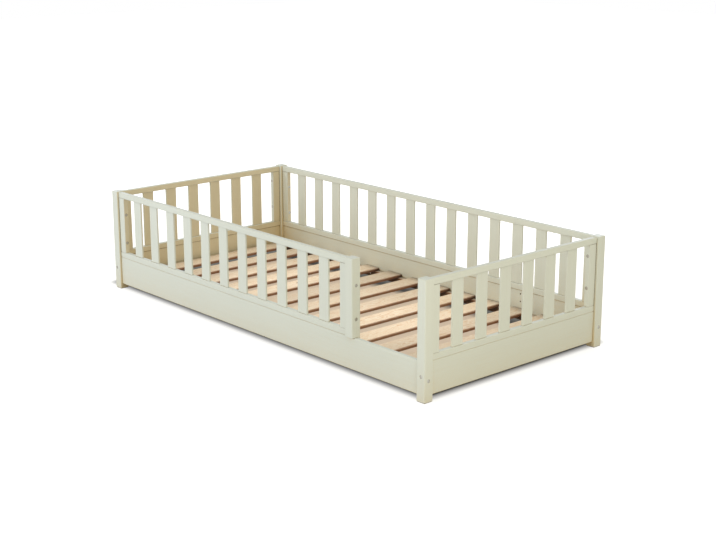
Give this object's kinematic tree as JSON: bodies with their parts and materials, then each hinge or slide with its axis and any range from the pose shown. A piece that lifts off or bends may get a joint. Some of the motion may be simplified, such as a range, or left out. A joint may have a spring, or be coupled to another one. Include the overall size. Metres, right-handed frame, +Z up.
{
  "type": "toddler floor bed",
  "caption": "Low wooden child's bed on square posts, with slatted guards all round, a way in at one side near the foot end, and a slatted base just above the floor",
  "frame": {"origin": "on the floor, in the middle of the bed's outline", "axes": "+X points to the foot end, -Y to the front side with the way in, +Z up"},
  "size_m": [2, 0.97, 0.447],
  "materials": {
    "white_painted_wood": "white satin paint",
    "natural_pine": "planed, unfinished",
    "zinc_plated_steel": "bright zinc plating",
    "beech_dowel": "plain"
  },
  "bodies": {
    "root": {"corner_post_head_front": "white_painted_wood", "corner_post_head_back": "white_painted_wood", "corner_post_foot_front": "white_painted_wood", "corner_post_foot_back": "white_painted_wood", "front_side_board": "white_painted_wood", "back_side_board": "white_painted_wood", "head_end_board": "white_painted_wood", "foot_end_board": "white_painted_wood", "front_guard_free_post": "white_painted_wood", "back_guard_top_rail": "white_painted_wood", "back_guard_bottom_rail": "white_painted_wood", "back_guard_slats": "white_painted_wood", "back_guard_head_stile": "white_painted_wood", "back_guard_foot_stile": "white_painted_wood", "front_guard_top_rail": "white_painted_wood", "front_guard_bottom_rail": "white_painted_wood", "front_guard_slats": "white_painted_wood", "front_guard_head_stile": "white_painted_wood", "front_guard_free_stile": "white_painted_wood", "head_guard_top_rail": "white_painted_wood", "head_guard_bottom_rail": "white_painted_wood", "head_guard_slats": "white_painted_wood", "head_guard_front_stile": "white_painted_wood", "head_guard_back_stile": "white_painted_wood", "foot_guard_top_rail": "white_painted_wood", "foot_guard_bottom_rail": "white_painted_wood", "foot_guard_slats": "white_painted_wood", "foot_guard_front_stile": "white_painted_wood", "foot_guard_back_stile": "white_painted_wood", "base_slat_01": "natural_pine", "base_slat_02": "natural_pine", "base_slat_03": "natural_pine", "base_slat_04": "natural_pine", "base_slat_05": "natural_pine", "base_slat_06": "natural_pine", "base_slat_07": "natural_pine", "base_slat_08": "natural_pine", "base_slat_09": "natural_pine", "base_slat_10": "natural_pine", "base_slat_11": "natural_pine", "base_slat_12": "natural_pine", "base_slat_13": "natural_pine", "front_slat_batten": "natural_pine", "back_slat_batten": "natural_pine", "board_bolts": "zinc_plated_steel", "board_barrel_nuts": "zinc_plated_steel", "guard_connector_screws": "zinc_plated_steel", "free_post_screws": "zinc_plated_steel", "batten_screws": "zinc_plated_steel", "base_slat_screws": "zinc_plated_steel", "board_dowels": "beech_dowel"}
  },
  "joints": []
}
